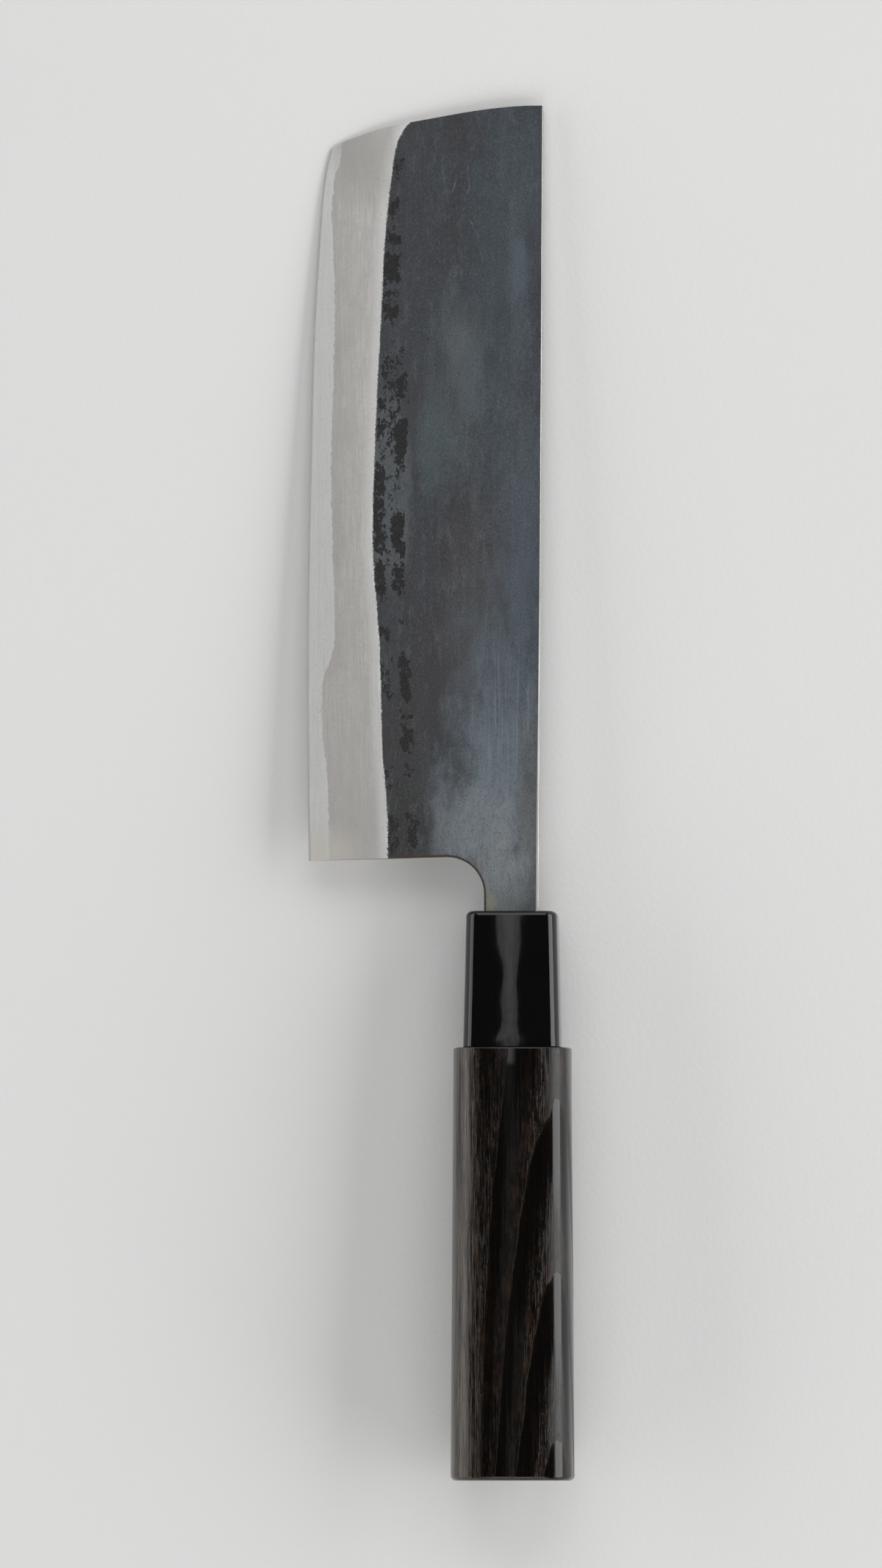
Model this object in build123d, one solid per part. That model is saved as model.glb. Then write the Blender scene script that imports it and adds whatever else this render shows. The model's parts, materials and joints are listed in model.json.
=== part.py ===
"""A nakiri: a laminated vegetable knife with a black ferrule and a rounded wooden grip.

The knife is built in its own frame: the origin is on the grip's axis at the ferrule's mouth, +X
runs to the tip, +Y to the cutting edge and +Z out of the left face. At the end every piece is
laid on its right side, as the knife rests on a table. All lengths are in millimetres.
"""

import os

from build123d import *

# Blade seen from the side
blade_length = 165.0  # heel to the spine's corner at the tip
blade_height = 50.6  # spine at the neck to the lowest point of the edge
neck_length = 11.2  # ferrule to heel
neck_width = 11.9
spine_offset = 5.8  # grip's axis to the spine at the neck
spine_rise = 1.0  # how far the spine leans away from the axis over its length
tip_setback = 9.6  # how far the edge's corner lies behind the spine's corner
edge_rise = 5.0  # how far the edge climbs from its lowest point to its corner
heel_lean = 0.8  # how far the heel leans towards the tip
heel_radius = 8.2  # hollow between heel and neck

# Blade seen from its end
neck_thickness = 3.8
tip_thickness = 1.9  # at the spine's corner
cheek_fall = 0.7  # how much thinner the flat cheek would be at the edge than at the spine
bevel_edge_thickness = 0.3  # where the wide bevel gives way to the honed one
honed_width = 0.35
edge_land = 0.06  # the cutting edge itself
spine_easing = 0.35
core_show = 5.8  # widest strip of core steel that the bevel lays bare

# Tang
root_depth = 4.0  # straight root of the neck in the ferrule's front wall
root_step = 0.12  # how far the root lies inside the neck's faces
tang_length = 96.0
tang_root_width = 9.6
tang_end_width = 4.6
tang_root_thickness = 3.3
tang_end_thickness = 2.4

# Ferrule
ferrule_length = 29.7
ferrule_front_width = 20.1
ferrule_back_width = 21.5
ferrule_front_thickness = 16.8
ferrule_back_thickness = 18.0
ferrule_crown = 1.0  # how far its broad faces fall to the corners
ferrule_bulge = 0.5  # how far its narrow sides do
ferrule_corner_radius = 3.2
ferrule_rim_radius = 1.2
seal_width = 0.4  # gap around the root in the ferrule's slot
seal_recess = 0.3

# Grip
grip_length = 94.1
grip_front_width = 25.7
grip_back_width = 27.0
grip_front_thickness = 22.0
grip_back_thickness = 22.8
grip_crown = 3.0
grip_bulge = 1.7
grip_corner_radius = 6.0
grip_front_radius = 0.4
grip_butt_radius = 1.1
tenon_width = 15.8
tenon_thickness = 12.4
glue_gap = 0.15  # around the tenon
tenon_end_gap = 0.6
bedding_gap = 0.6  # around the tang
mortise_end_gap = 3.0

# How far a cut runs past what it cuts
overrun = 3.0

# The squared tip: share of the tip's height from the spine, share of the setback
tip_curve_shares = [
    (0.175, 0.03),
    (0.43, 0.20),
    (0.62, 0.365),
    (0.78, 0.53),
    (0.88, 0.70),
    (0.96, 0.865),
]

# The edge: share of its length from the heel, share of the edge's rise
edge_curve_shares = [
    (0.0, 0.06),
    (0.12, 0.0),
    (0.38, 0.0),
    (0.61, 0.14),
    (0.775, 0.30),
    (0.90, 0.55),
    (0.965, 0.76),
    (1.0, 1.0),
]

# The bevel's upper line: share of the blade's length from the heel, share of its height
bevel_line_shares = [
    (-0.02, 0.652),
    (0.07, 0.655),
    (0.15, 0.675),
    (0.235, 0.682),
    (0.31, 0.692),
    (0.39, 0.713),
    (0.45, 0.717),
    (0.52, 0.710),
    (0.60, 0.701),
    (0.71, 0.682),
    (0.82, 0.665),
    (0.896, 0.640),
    (0.94, 0.620),
    (0.965, 0.590),
    (0.978, 0.557),
    (1.00, 0.480),
    (1.02, 0.400),
]

# The bare core on each face: share of the blade's length from the heel, share of core_show
left_core_shares = [
    (0.0, 0.74),
    (0.09, 0.75),
    (0.17, 0.56),
    (0.215, 0.52),
    (0.262, 0.81),
    (0.30, 1.0),
    (0.42, 0.90),
    (0.54, 0.78),
    (0.63, 0.79),
    (0.73, 0.74),
    (0.81, 0.57),
    (0.90, 0.36),
    (0.95, 0.40),
    (1.0, 0.45),
]
right_core_shares = [
    (0.0, 0.66),
    (0.12, 0.80),
    (0.22, 0.92),
    (0.33, 0.78),
    (0.42, 0.70),
    (0.52, 0.88),
    (0.64, 0.80),
    (0.74, 0.62),
    (0.84, 0.55),
    (0.92, 0.42),
    (1.0, 0.44),
]

# Where the tip's end touches the table: shares of its length from the spine
rest_shares = (0.70, 0.80)

# Places that follow from the sizes
spine_length = neck_length + blade_length
edge_reach = blade_height - spine_offset
neck_side = neck_width - spine_offset
handle_length = ferrule_length + grip_length
spine_corner = Vector(spine_length, -spine_offset - spine_rise)
edge_corner = Vector(spine_length - tip_setback, edge_reach - edge_rise)


def along_blade(share):
    """x at a share of the blade's length from the heel."""
    return neck_length + share * blade_length


def tip_curve():
    height = edge_corner.Y - spine_corner.Y
    points = [spine_corner]
    for up, back in tip_curve_shares:
        points.append((spine_corner.X - back * tip_setback, spine_corner.Y + up * height))
    return Spline(*points, edge_corner)


def edge_curve():
    length = edge_corner.X - neck_length
    points = []
    for along, up in edge_curve_shares:
        points.append((neck_length + along * length, edge_reach - up * edge_rise))
    return Spline(*points)


def bevel_curve():
    points = []
    for along, down in bevel_line_shares:
        points.append((along_blade(along), down * blade_height - spine_offset))
    return Spline(*points)


tip_line = tip_curve()
edge_line = edge_curve()
bevel_line = bevel_curve()


def crossing(is_past):
    """The place from 0 to 1 where is_past turns true."""
    low, high = 0.0, 1.0
    for _ in range(40):
        middle = (low + high) / 2
        if is_past(middle):
            high = middle
        else:
            low = middle
    return (low + high) / 2


def height_on(curve, x):
    """y at x on a curve that runs along the blade. Past its ends the curve goes on straight."""
    place = crossing(lambda t: (curve @ t).X > x)
    point, way = curve @ place, curve % place
    return point.Y + (x - point.X) * way.Y / way.X


def cheek_half(x, y):
    """Half the thickness between the flat cheeks."""
    lost_along = (neck_thickness - tip_thickness) * x / spine_length
    lost_across = cheek_fall * (y + spine_offset) / blade_height
    return (neck_thickness - lost_along - lost_across) / 2


def bevel_half(x, y):
    """Half the thickness between the wide bevels."""
    top, edge = height_on(bevel_line, x), height_on(edge_line, x)
    slope = (cheek_half(x, top) - bevel_edge_thickness / 2) / (edge - top)
    return bevel_edge_thickness / 2 + slope * (edge - y)


def honed_half(x, y):
    """Half the thickness between the honed bevels."""
    slope = (bevel_edge_thickness - edge_land) / 2 / honed_width
    return edge_land / 2 + slope * (height_on(edge_line, x) - y)


def blade_outline():
    bend = Vector(neck_length + heel_lean - heel_radius, neck_side + heel_radius)
    spine = Line((0, -spine_offset), spine_corner)
    heel = Line(edge_line @ 0, (bend.X + heel_radius, bend.Y))
    hollow = CenterArc(bend, heel_radius, 0, -90)
    side = Line((bend.X, neck_side), (0, neck_side))
    mouth = Line((0, neck_side), (0, -spine_offset))
    return make_face([spine, tip_line, edge_line, heel, hollow, side, mouth])


def cheek_plane():
    near = Vector(0, -spine_offset, cheek_half(0, -spine_offset))
    far = Vector(spine_length, -spine_offset, cheek_half(spine_length, -spine_offset))
    low = Vector(0, edge_reach, cheek_half(0, edge_reach))
    return Plane(origin=near, x_dir=far - near, z_dir=(far - near).cross(low - near))


def grinding(half, reach):
    """What is ground off the left face down to half, over the last reach before the edge."""
    faces = []
    for share, _ in bevel_line_shares:
        x = along_blade(share)
        inner = height_on(edge_line, x) - reach
        outer = height_on(edge_line, x) + overrun
        points = [
            (inner, half(x, inner)),
            (outer, half(x, outer)),
            (outer, neck_thickness),
            (inner, neck_thickness),
        ]
        faces.append(Plane.YZ.offset(x) * make_face(Polyline(*points, close=True)))
    return loft(faces)


def bar(x_front, x_back, front, back, outline):
    """A tapered bar along the grip's axis. Each end is (width, thickness), drawn by outline."""
    ends = [
        Plane.YZ.offset(x_back) * outline(*back),
        Plane.YZ.offset(x_front) * outline(*front),
    ]
    return loft(ends)


def oval(width, thickness):
    return Ellipse(width / 2, thickness / 2)


def oblong(width, thickness, crown, bulge, corner_radius):
    """A section with crowned broad faces, bulging narrow sides and round corners."""
    side, top = width / 2, thickness / 2
    y, z = side - bulge, top - crown
    outline = [
        ThreePointArc((-y, z), (0, top), (y, z)),
        ThreePointArc((y, z), (side, 0), (y, -z)),
        ThreePointArc((y, -z), (0, -top), (-y, -z)),
        ThreePointArc((-y, -z), (-side, 0), (-y, z)),
    ]
    face = make_face(outline)
    return fillet(face.vertices(), corner_radius)


def ferrule_section(width, thickness):
    return oblong(width, thickness, ferrule_crown, ferrule_bulge, ferrule_corner_radius)


def grip_section(width, thickness):
    return oblong(width, thickness, grip_crown, grip_bulge, grip_corner_radius)


def rims(solid, x):
    """The edges of a solid that lie at x on the grip's axis."""
    return solid.edges().filter_by_position(Axis.X, x, x)


def neck_root(gap, front):
    """The neck's straight root, grown by gap all round, from front to the ferrule's inner wall."""
    width = neck_width + 2 * (gap - root_step)
    thickness = neck_thickness + 2 * (gap - root_step)
    centre = neck_side - neck_width / 2
    size = (width, thickness)
    return Pos(0, centre, 0) * bar(front, -root_depth, size, size, Rectangle)


def tang(gap, end_gap):
    """The tang past the root, grown by gap all round and by end_gap at its end."""
    front = (tang_root_width + 2 * gap, tang_root_thickness + 2 * gap)
    back = (tang_end_width + 2 * gap, tang_end_thickness + 2 * gap)
    return bar(-root_depth, -tang_length - end_gap, front, back, Rectangle)


def forged_blade():
    """Blade, neck and tang as one piece, before it is parted into its layers."""
    left = extrude(blade_outline(), amount=neck_thickness)
    left = split(left, bisect_by=cheek_plane(), keep=Keep.BOTTOM)
    left -= grinding(bevel_half, blade_height / 2)
    left -= grinding(honed_half, 2 * honed_width)
    blade = left + mirror(left, about=Plane.XY)
    blade += neck_root(0, 0) + tang(0, 0)
    spine_edges = []
    for edge in blade.edges().filter_by(GeomType.LINE):
        if edge.length > blade_length and edge.center().Y < 0:
            spine_edges.append(edge)
    return fillet(spine_edges, spine_easing)


def above_core(core_shares):
    """The space on the left of the core layer, whose surface ripples along the blade."""
    depths = []
    for along, bare in core_shares:
        x = along_blade(along)
        y = height_on(edge_line, x) - bare * core_show
        depths.append((x, bevel_half(x, y)))
    heel_depth = depths[0][1]
    far = spine_length + overrun
    back = -tang_length - overrun
    points = [(back, heel_depth), (back / 2, heel_depth), (0, heel_depth)]
    ripple = Spline(*points, *depths, (far, depths[-1][1]))
    lid = Polyline(ripple @ 1, (far, neck_thickness), (back, neck_thickness), ripple @ 0)
    face = Plane.XZ * make_face([ripple, lid])
    return extrude(face, amount=blade_height, both=True)


def socket():
    """The ferrule's hollow, which takes the tenon and its glue."""
    size = (tenon_width + 2 * glue_gap, tenon_thickness + 2 * glue_gap)
    return bar(-root_depth, -ferrule_length, size, size, oval)


def ferrule():
    front = (ferrule_front_width, ferrule_front_thickness)
    back = (ferrule_back_width, ferrule_back_thickness)
    cap = bar(0, -ferrule_length, front, back, ferrule_section)
    cap = fillet(rims(cap, 0), ferrule_rim_radius)
    return cap - neck_root(seal_width, overrun) - socket()


def tenon():
    size = (tenon_width, tenon_thickness)
    return bar(-root_depth - tenon_end_gap, -ferrule_length, size, size, oval)


def grip():
    front = (grip_front_width, grip_front_thickness)
    back = (grip_back_width, grip_back_thickness)
    body = bar(-ferrule_length, -handle_length, front, back, grip_section)
    body = fillet(rims(body, -ferrule_length), grip_front_radius)
    body = fillet(rims(body, -handle_length), grip_butt_radius)
    return body + tenon() - tang(bedding_gap, mortise_end_gap)


def build():
    """Every piece by name, in the knife's own frame."""
    blade = forged_blade()
    left = above_core(left_core_shares)
    right = mirror(above_core(right_core_shares), about=Plane.XY)
    mortise = tang(bedding_gap, mortise_end_gap)
    return {
        "core_steel": blade - left - right,
        "cladding_left": blade & left,
        "cladding_right": blade & right,
        "ferrule": ferrule(),
        "grip": grip(),
        "tang_bedding": mortise - tang(0, 0),
        "mouth_seal": neck_root(seal_width, -seal_recess) - neck_root(0, 0),
        "ferrule_glue": socket() - tenon() - mortise,
    }


def table_plane():
    """The plane the knife rests on: it touches the grip's shoulder and the tip's curved end."""
    contacts = []
    for share in rest_shares:
        contact = tip_line @ share
        contact.Z = -bevel_half(contact.X, contact.Y)
        contacts.append(contact)
    shoulder = Vector(-ferrule_length, 0, -grip_front_thickness / 2)
    up = (contacts[0] - shoulder).cross(contacts[1] - shoulder)
    ahead = Vector(1, 0, 0).project_to_plane(Plane(origin=(0, 0, 0), z_dir=up))
    return Plane(origin=shoulder, x_dir=ahead, z_dir=up)


def lay_down(pieces):
    """Turns the pieces to lie on the table, and centres them over the origin."""
    table = table_plane()
    laid = {name: table.to_local_coords(piece) for name, piece in pieces.items()}
    box = Compound(list(laid.values())).bounding_box()
    middle = box.center()
    drop = Pos(-middle.X, -middle.Y, -box.min.Z)
    return {name: drop * piece for name, piece in laid.items()}


knife = lay_down(build())
os.makedirs("parts", exist_ok=True)
for name, piece in knife.items():
    export_step(piece, f"parts/{name}.step")
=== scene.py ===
# %% [markdown]
# # A nakiri, dressed around its CAD frame
# The knife was drawn as exact solids first. This notebook loads them as a fixed frame, gives the
# blade its metal, and puts smooth, finely made pieces in the place of the ferrule and the grip.
# Loading the frame first matters: every later piece is placed by the CAD, never by eye.

# %% Load the frame
import json
import math

import bmesh
import bpy
from mathutils import Matrix, Vector


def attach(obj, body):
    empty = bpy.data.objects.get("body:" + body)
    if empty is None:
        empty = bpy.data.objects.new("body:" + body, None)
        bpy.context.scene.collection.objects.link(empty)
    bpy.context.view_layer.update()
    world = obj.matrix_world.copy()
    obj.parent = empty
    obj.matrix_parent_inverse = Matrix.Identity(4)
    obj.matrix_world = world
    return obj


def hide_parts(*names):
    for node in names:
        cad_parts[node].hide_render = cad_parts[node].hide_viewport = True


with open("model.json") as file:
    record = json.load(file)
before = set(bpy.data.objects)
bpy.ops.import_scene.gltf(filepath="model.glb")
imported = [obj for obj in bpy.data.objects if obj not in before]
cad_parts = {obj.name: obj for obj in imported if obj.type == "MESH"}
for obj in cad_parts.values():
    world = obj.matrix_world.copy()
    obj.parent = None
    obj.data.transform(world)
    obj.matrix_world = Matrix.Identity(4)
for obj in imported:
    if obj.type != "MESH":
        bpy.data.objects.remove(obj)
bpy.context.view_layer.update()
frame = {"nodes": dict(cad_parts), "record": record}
print("CAD nodes:", sorted(frame["nodes"]))

# %% [markdown]
# ## The knife's own frame
# The knife lies a little tilted, on its ferrule shoulder and its tip. Modelling in tilted
# coordinates is hard to read, so we find the knife's own frame: x runs from the ferrule's mouth
# to the tip, y to the cutting edge and z out of the left face, all in millimetres. The record
# that came with the frame says where its faces look, and that is enough to work it out.

# %% Find the knife's own frame
MM = 0.001
mounts = {}
for mount in frame["record"]["mounts"]:
    mounts[mount["name"]] = (Vector(mount["pos_m"]), Vector(mount["axis"]).normalized())

FERRULE_LENGTH = 29.7
GRIP_LENGTH = 94.1
to_butt = mounts["grip_hold"][1]
own_x = -to_butt
own_z = (mounts["blade_flat_left"][1] - mounts["blade_flat_right"][1]).normalized()
own_y = own_z.cross(own_x).normalized()
mouth = mounts["grip_hold"][0] + own_x * (FERRULE_LENGTH + GRIP_LENGTH / 2) * MM

turn = Matrix((own_x, own_y, own_z)).transposed()
knife_to_room = Matrix.Translation(mouth) @ turn.to_4x4() @ Matrix.Scale(MM, 4)
print("ferrule's mouth:", [round(c, 4) for c in mouth])

# %% [markdown]
# ## Camera
# The photograph was taken from straight above with a long lens, the tip at the top. A camera far
# away with a narrow lens keeps the knife's sides parallel, as a tele lens does. We aim it at the
# point of the knife that lies in the middle of the picture and choose the lens so that the
# picture covers the same height.

# %% Put the camera above the knife
PICTURE_HEIGHT = 341.8  # mm that the photograph shows from top to bottom, at the ferrule's mouth
PICTURE_MIDDLE = (0.0019, -0.0001)  # m, the point of the scene in the middle of the picture
CAMERA_HEIGHT = 3.2  # m above the ferrule's mouth
SENSOR = 36.0  # mm
TIP_UP = -math.pi / 2  # turns the picture so that the tip is at the top

camera_data = bpy.data.cameras.new("camera")
camera_data.sensor_width = SENSOR
camera_data.lens = SENSOR * CAMERA_HEIGHT / (PICTURE_HEIGHT * MM)
camera = bpy.data.objects.new("camera", camera_data)
bpy.context.collection.objects.link(camera)
camera.location = (*PICTURE_MIDDLE, mouth.z + CAMERA_HEIGHT)
camera.rotation_euler = (0, 0, TIP_UP)
bpy.context.scene.camera = camera
bpy.context.scene.view_settings.view_transform = "Standard"
print("lens:", round(camera_data.lens), "mm")

# %% [markdown]
# ## Node helpers
# Every finish below is a small network of shader nodes. These helpers add one node each, join
# its inputs by name and return it, so that a finish reads from top to bottom like a recipe.


# %% Helpers for shader nodes
def add_node(tree, kind, inputs=None, **settings):
    """Adds a node. Its full type is ShaderNode followed by kind."""
    node = tree.nodes.new("ShaderNode" + kind)
    for key, value in settings.items():
        setattr(node, key, value)
    for key, value in (inputs or {}).items():
        socket = node.inputs[key]
        if isinstance(value, bpy.types.NodeSocket):
            tree.links.new(value, socket)
        else:
            socket.default_value = value
    return node


class Recipe:
    """A material under construction, with short words for the nodes that it uses most."""

    def __init__(self, name):
        self.material = bpy.data.materials.new(name)
        self.material.use_nodes = True
        self.tree = self.material.node_tree
        self.tree.nodes.clear()

    def node(self, kind, inputs=None, **settings):
        return add_node(self.tree, kind, inputs, **settings)

    def math(self, operation, a, b=0.0, c=0.0):
        return self.node("Math", {0: a, 1: b, 2: c}, operation=operation).outputs[0]

    def times(self, a, b):
        return self.math("MULTIPLY", a, b)

    def minus(self, a, b):
        return self.math("SUBTRACT", a, b)

    def own_place(self, stretch=(1, 1, 1), shift=(0, 0, 0)):
        """Object coordinates turned into the knife's own millimetres, then squeezed."""
        where = self.node("TexCoord").outputs["Object"]
        place = self.node("Mapping", {"Vector": where}, vector_type="TEXTURE")
        place.inputs["Location"].default_value = mouth
        place.inputs["Rotation"].default_value = turn.to_euler()
        place.inputs["Scale"].default_value = (MM, MM, MM)
        out = place.outputs[0]
        if stretch == (1, 1, 1) and shift == (0, 0, 0):
            return out
        squeezed = self.node("Mapping", {"Vector": out})
        squeezed.inputs["Location"].default_value = shift
        squeezed.inputs["Scale"].default_value = stretch
        return squeezed.outputs[0]

    def noise(self, vector, scale, detail=2.0, roughness=0.5):
        inputs = {"Vector": vector, "Scale": scale, "Detail": detail, "Roughness": roughness}
        return self.node("TexNoise", inputs).outputs["Fac"]

    def own_noise(self, waves, shift=(0, 0, 0), detail=2.0, roughness=0.5):
        """Noise with so many waves per millimetre along the knife's own x, y and z."""
        return self.noise(self.own_place(waves, shift), 1.0, detail, roughness)

    def swing(self, noise, reach):
        """A noise made to swing round zero, by half of reach at most."""
        return self.times(self.minus(noise, 0.5), reach)

    def shaken(self, value, noise, reach):
        """The value moved to and fro by a noise, by half of reach at most."""
        return self.math("MULTIPLY_ADD", self.minus(noise, 0.5), reach, value)

    def ramp(self, value, low, high, out_low=0.0, out_high=1.0, smooth=True):
        inputs = {0: value, 1: low, 2: high, 3: out_low, 4: out_high}
        kind = "SMOOTHSTEP" if smooth else "LINEAR"
        node = self.node("MapRange", inputs, interpolation_type=kind)
        return node.outputs[0]

    def length(self, vector):
        return self.node("VectorMath", {0: vector}, operation="LENGTH").outputs["Value"]

    def facing(self, way):
        """1 where the surface looks the given way or the opposite way, 0 where it is side-on."""
        normal = self.node("NewGeometry").outputs["True Normal"]
        dot = self.node("VectorMath", {0: normal, 1: way}, operation="DOT_PRODUCT")
        return self.math("ABSOLUTE", dot.outputs["Value"])

    def blend(self, factor, first, second):
        """A colour that goes from first to second as factor goes from 0 to 1."""
        node = self.node("Mix", data_type="RGBA")
        for number, value in ((0, factor), (6, first), (7, second)):
            socket = node.inputs[number]
            if isinstance(value, bpy.types.NodeSocket):
                self.tree.links.new(value, socket)
            elif socket.type == "RGBA":
                socket.default_value = (*value, 1.0)
            else:
                socket.default_value = value
        return node.outputs[2]

    def weigh(self, factor, first, second):
        """A number that goes from first to second as factor goes from 0 to 1."""
        inputs = {0: factor, 1: 0.0, 2: 1.0, 3: first, 4: second}
        return self.node("MapRange", inputs).outputs[0]

    def bump(self, height, distance, strength=1.0, normal=None):
        inputs = {"Height": height, "Distance": distance, "Strength": strength}
        if normal is not None:
            inputs["Normal"] = normal
        return self.node("Bump", inputs).outputs[0]

    def finish(self, inputs):
        shader = self.node("BsdfPrincipled", inputs)
        self.node("OutputMaterial", {"Surface": shader.outputs[0]})
        return self.material


print("helpers ready")

# %% [markdown]
# ## Floor and light
# A pale sheet of card lies under the knife, wide enough to fill every view. It is lit like any
# other surface near the knife and keeps the knife's shadow; farther off, where the lamps would
# leave pools of light, it takes an even tone that meets the world's at the horizon. That tone is
# only for the eye and for mirrors, and sheds no light itself.
# The world is pale at the horizon and dark overhead, so that polished black shows dark with
# clean edges. A narrow soft lamp hangs over the blade's side, two long low panels stand along
# the knife and two soft ones beyond its ends. The panels draw the long highlights on the handle.

# %% Lay the floor
FLOOR_SIZE = 30.0  # m
FLOOR_FADE = (0.5, 1.4)  # m from the middle, where the lit card gives way to the even tone
SKY_AT_HORIZON = 0.95  # how pale the world is there
FAR_TONES = (0.76, SKY_AT_HORIZON)
FAR_TONE_REACH = (1.0, 8.8)  # m, where the even tone starts to pale, and where it meets the world
floor_bm = bmesh.new()
bmesh.ops.create_grid(floor_bm, x_segments=1, y_segments=1, size=FLOOR_SIZE / 2)
floor_mesh = bpy.data.meshes.new("floor")
floor_bm.to_mesh(floor_mesh)
floor_bm.free()
floor = bpy.data.objects.new("floor", floor_mesh)
bpy.context.collection.objects.link(floor)

card = Recipe("pale_card")
card_place = card.node("TexCoord").outputs["Object"]
card_cloud = card.noise(card_place, 9.0, detail=3.0)
card_colour = card.blend(card_cloud, (0.79, 0.79, 0.785), (0.82, 0.815, 0.81))
card_fibre = card.noise(card_place, 900.0)
card_lit = card.node("BsdfPrincipled", {
    "Base Color": card_colour,
    "Roughness": 0.8,
    "Normal": card.bump(card_fibre, 0.00005),
}).outputs[0]
card_far = card.length(card_place)
card_tone = card.ramp(card_far, *FAR_TONE_REACH, *FAR_TONES, smooth=False)
card_tone = card.blend(card_tone, (0, 0, 0), (1.0, 0.995, 0.985))
card_even = card.node("Emission", {"Color": card_tone, "Strength": 1.0}).outputs[0]
ray = card.node("LightPath").outputs
seen = card.math("MAXIMUM", ray["Is Camera Ray"], ray["Is Glossy Ray"])
seen = card.math("MAXIMUM", seen, ray["Is Transmission Ray"])
card_even_share = card.times(card.ramp(card_far, *FLOOR_FADE), seen)
card_mix = card.node("MixShader", {0: card_even_share, 1: card_lit, 2: card_even})
card.node("OutputMaterial", {"Surface": card_mix.outputs[0]})
floor_mesh.materials.append(card.material)
print("floor:", FLOOR_SIZE, "m")

# %% Set the world
SKY_OVERHEAD = 0.045
SKY_FADE = 0.34  # sine of the height where the pale band ends
world = bpy.data.worlds.new("studio")
bpy.context.scene.world = world
world.use_nodes = True
sky = world.node_tree
sky.nodes.clear()
sky_way = add_node(sky, "TexCoord").outputs["Generated"]
sky_up = add_node(sky, "SeparateXYZ", {0: sky_way}).outputs["Z"]
sky_steps = {0: sky_up, 1: 0.0, 2: SKY_FADE, 3: SKY_AT_HORIZON, 4: SKY_OVERHEAD}
sky_level = add_node(sky, "MapRange", sky_steps, interpolation_type="SMOOTHSTEP")
sky_light = add_node(sky, "Background", {"Color": sky_level.outputs[0], "Strength": 1.0})
add_node(sky, "OutputWorld", {"Surface": sky_light.outputs[0]})
print("world:", SKY_AT_HORIZON, "at the horizon,", SKY_OVERHEAD, "overhead")


# %% Helper: a soft lamp
def area_lamp(name, place, aim, size, radiance):
    """A soft lamp of size (across, along) at place, looking at aim. Its face shows radiance."""
    data = bpy.data.lights.new(name, "AREA")
    data.shape = "RECTANGLE"
    data.size, data.size_y = size
    data.energy = radiance * math.pi * size[0] * size[1]
    lamp = bpy.data.objects.new(name, data)
    bpy.context.collection.objects.link(lamp)
    lamp.location = place
    way = (Vector(aim) - Vector(place)).normalized()
    along = Vector((1, 0, 0)) if abs(way.x) < 0.5 else Vector((0, 1, 0))
    along = (along - way * along.dot(way)).normalized()
    across = way.cross(along)
    lamp.rotation_euler = Matrix((across, along, -way)).transposed().to_euler()
    lamp.visible_camera = False


print("lamp helper ready")

# %% Hang the lamps
OVERHEAD_PLACE = (0.665, 0.19, 2.0)  # m, as all places and sizes of lamps
OVERHEAD_AIM = (0.665, 0, 0)
OVERHEAD_LENGTH = 1.0
OVERHEAD_LAMPS = [("overhead_core", 0.13, 1.2), ("overhead_halo", 0.30, 0.90)]  # width, radiance
PANEL_X = -0.02
PANEL_AIM_HEIGHT = 0.02
PANEL_LENGTH = 4.5
PANELS = [  # y, z, how far across, radiance
    ("panel_edge_side", 2.52, 0.84, 1.40, 1.9),
    ("panel_spine_side", -2.58, 1.15, 1.74, 3.4),
]
END_LAMPS = [("end_tip_side", 3.2), ("end_butt_side", -3.2)]
END_HEIGHT = 2.6
END_SIZE = (3.0, 4.0)
END_RADIANCE = 1.65

for name, width, radiance in OVERHEAD_LAMPS:
    area_lamp(name, OVERHEAD_PLACE, OVERHEAD_AIM, (width, OVERHEAD_LENGTH), radiance)
for name, y, z, across, radiance in PANELS:
    aim = (PANEL_X, 0, PANEL_AIM_HEIGHT)
    area_lamp(name, (PANEL_X, y, z), aim, (across, PANEL_LENGTH), radiance)
for name, x in END_LAMPS:
    area_lamp(name, (x, 0, END_HEIGHT), (0, 0, 0), END_SIZE, END_RADIANCE)

# %% [markdown]
# ## Blade
# A laminated blade: hard steel in the middle, soft iron on both faces. The cheeks keep the dark
# blue-grey scale of the forge, the wide bevel is ground bare on a stone, and along its upper
# line a few black flakes of scale have stayed. The CAD solids already have the right shape, so
# they keep their meshes and only get a finish. That finish has to know where on the blade it is:
# one curve repeats the bevel's line, and the tilt of the surface tells the honed edge and the
# narrow sides from the faces.

# %% Blade: the lines that the finish follows
NECK_LENGTH = 11.2
BLADE_LENGTH = 165.0
BLADE_HEIGHT = 50.6
SPINE_OFFSET = 5.8  # from the x axis to the spine at the neck
SPINE_RISE = 1.0
EDGE_RISE = 5.0  # how far the edge has risen at the tip
CORE_SHOW = 5.8  # the widest that the core steel shows
HOLLOW_MIDDLE = (3.8, 14.3)
HOLLOW_RADIUS = 8.2
HEEL_SLOPE = 0.8 / 30.5  # how much the heel leans towards the tip
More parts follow.
